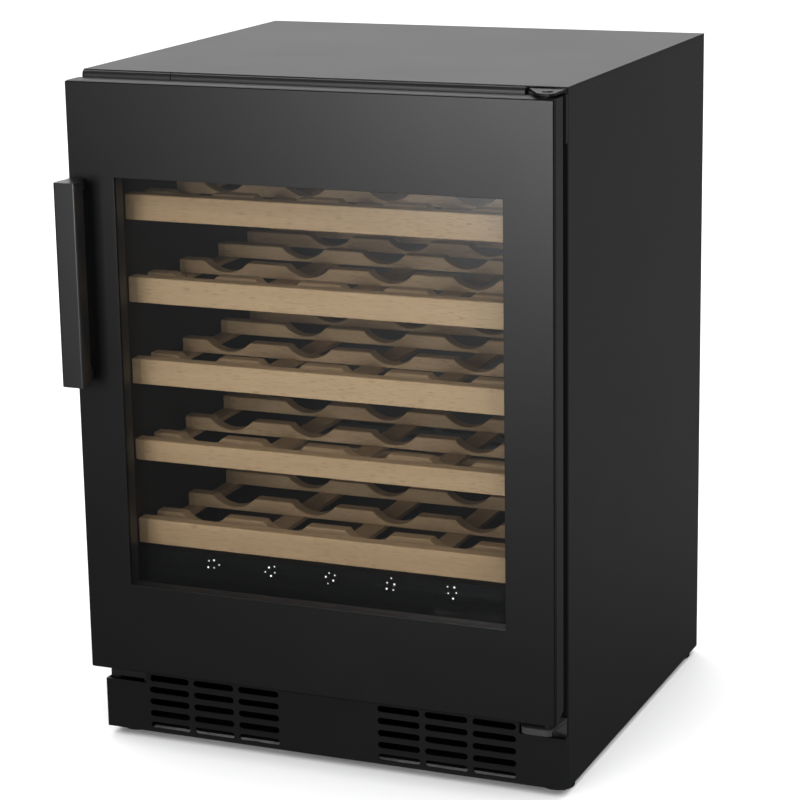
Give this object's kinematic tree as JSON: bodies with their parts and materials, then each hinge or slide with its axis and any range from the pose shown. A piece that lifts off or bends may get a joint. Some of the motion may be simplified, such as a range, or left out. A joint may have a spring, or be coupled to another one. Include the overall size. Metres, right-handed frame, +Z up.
{
  "type": "wine cooler",
  "caption": "Undercounter wine cooler with a right-hinged glazed door, bar handle, sliding wooden bottle shelves and a ventilated plinth.",
  "frame": {"origin": "on the floor, under the middle of the object's bounding box, handle included", "axes": "+X to the right as one faces the door, +Y to the back, +Z up"},
  "size_m": [0.595, 0.615, 0.82],
  "materials": {
    "black_paint": "satin",
    "door_paint": "satin",
    "galvanised_steel": "satin",
    "hinge_paint": "satin",
    "bracket_paint": "satin",
    "hinge_steel": "satin",
    "black_plastic": "satin",
    "liner_plastic": "satin",
    "fan_plastic": "satin",
    "foam": "matte",
    "gloss_black": "gloss",
    "lamp_lens": "satin",
    "compressor_enamel": "gloss",
    "rubber": "matte",
    "copper": "satin",
    "tinted_glass": "gloss",
    "handle_black": "satin",
    "bush_plastic": "satin",
    "beech": "satin"
  },
  "bodies": {
    "cabinet": {"side_panel_left": "black_paint", "side_panel_right": "black_paint", "top_panel": "black_paint", "back_panel": "black_paint", "base_pan": "black_paint", "front_frame": "black_paint", "inner_liner": "liner_plastic", "foam_insulation": "foam", "top_trim_strip": "black_plastic", "left_hinge_cover": "black_plastic", "corner_brackets": "black_paint", "top_hinge_plate": "hinge_paint", "bottom_hinge_bracket": "bracket_paint", "hinge_pins": "hinge_steel", "cabinet_screws": "hinge_steel", "plinth_grille": "door_paint", "shelf_rails_left": "black_plastic", "shelf_rails_right": "black_plastic", "evaporator_cover": "black_plastic", "evaporator_coil": "galvanised_steel", "evaporator_fan_frame": "black_plastic", "carbon_filter": "black_plastic", "temperature_sensor": "black_plastic", "light_bar": "lamp_lens", "control_console": "black_plastic", "control_fascia": "gloss_black", "compressor": "compressor_enamel", "compressor_grommets": "rubber", "condenser_coil": "galvanised_steel", "condenser_fan_shroud": "black_plastic", "drip_tray": "black_plastic", "electronics_box": "black_plastic", "power_inlet": "black_plastic", "refrigerant_pipes": "copper", "filter_drier": "copper"},
    "door": {"door_skin": "door_paint", "door_frame": "black_plastic", "outer_glass": "tinted_glass", "inner_glass": "tinted_glass", "glass_spacer": "black_plastic", "door_gasket": "rubber", "handle_bar": "handle_black", "handle_screws": "hinge_steel", "hinge_bushes": "bush_plastic"},
    "shelf_1": {"shelf_1_board": "beech", "shelf_1_rack": "beech"},
    "shelf_2": {"shelf_2_board": "beech", "shelf_2_rack": "beech"},
    "shelf_3": {"shelf_3_board": "beech", "shelf_3_rack": "beech"},
    "shelf_4": {"shelf_4_board": "beech", "shelf_4_rack": "beech"},
    "shelf_5": {"shelf_5_board": "beech", "shelf_5_rack": "beech"},
    "evaporator_fan": {"evaporator_fan_rotor": "fan_plastic"},
    "condenser_fan": {"condenser_fan_rotor": "fan_plastic"},
    "foot_front_left": {"foot_front_left": "rubber"},
    "foot_front_right": {"foot_front_right": "rubber"},
    "foot_rear_left": {"foot_rear_left": "rubber"},
    "foot_rear_right": {"foot_rear_right": "rubber"}
  },
  "joints": [
    {"name": "door_hinge", "type": "hinge", "parent": "cabinet", "child": "door", "pos_m": [0.2835, -0.2425, 0.456], "axis": [0, 0, 1], "range_deg": [0, 105]},
    {"name": "shelf_1_slide", "type": "slide", "parent": "cabinet", "child": "shelf_1", "axis": [0, -1, 0], "range_m": [0, 0.25]},
    {"name": "shelf_2_slide", "type": "slide", "parent": "cabinet", "child": "shelf_2", "axis": [0, -1, 0], "range_m": [0, 0.25]},
    {"name": "shelf_3_slide", "type": "slide", "parent": "cabinet", "child": "shelf_3", "axis": [0, -1, 0], "range_m": [0, 0.25]},
    {"name": "shelf_4_slide", "type": "slide", "parent": "cabinet", "child": "shelf_4", "axis": [0, -1, 0], "range_m": [0, 0.25]},
    {"name": "shelf_5_slide", "type": "slide", "parent": "cabinet", "child": "shelf_5", "axis": [0, -1, 0], "range_m": [0, 0.25]},
    {"name": "evaporator_fan_spin", "type": "hinge", "parent": "cabinet", "child": "evaporator_fan", "pos_m": [0, 0.2195, 0.64], "axis": [0, 1, 0], "continuous": true},
    {"name": "condenser_fan_spin", "type": "hinge", "parent": "cabinet", "child": "condenser_fan", "pos_m": [-0.018, -0.0115, 0.075], "axis": [1, 0, 0], "continuous": true},
    {"name": "foot_front_left_turn", "type": "hinge", "parent": "cabinet", "child": "foot_front_left", "pos_m": [-0.275, -0.1885, 0.02], "axis": [0, 0, 1], "range_deg": [0, 3600]},
    {"name": "foot_front_right_turn", "type": "hinge", "parent": "cabinet", "child": "foot_front_right", "pos_m": [0.275, -0.1885, 0.02], "axis": [0, 0, 1], "range_deg": [0, 3600]},
    {"name": "foot_rear_left_turn", "type": "hinge", "parent": "cabinet", "child": "foot_rear_left", "pos_m": [-0.275, 0.2795, 0.02], "axis": [0, 0, 1], "range_deg": [0, 3600]},
    {"name": "foot_rear_right_turn", "type": "hinge", "parent": "cabinet", "child": "foot_rear_right", "pos_m": [0.275, 0.2795, 0.02], "axis": [0, 0, 1], "range_deg": [0, 3600]}
  ],
  "couplings": [
    {"joint": "shelf_1_slide", "follows": "door_hinge", "m_per_rad": 0.0215},
    {"joint": "shelf_2_slide", "follows": "door_hinge", "m_per_rad": 0.0215},
    {"joint": "shelf_3_slide", "follows": "door_hinge", "m_per_rad": 0.0215},
    {"joint": "shelf_4_slide", "follows": "door_hinge", "m_per_rad": 0.0215},
    {"joint": "shelf_5_slide", "follows": "door_hinge", "m_per_rad": 0.0215}
  ]
}
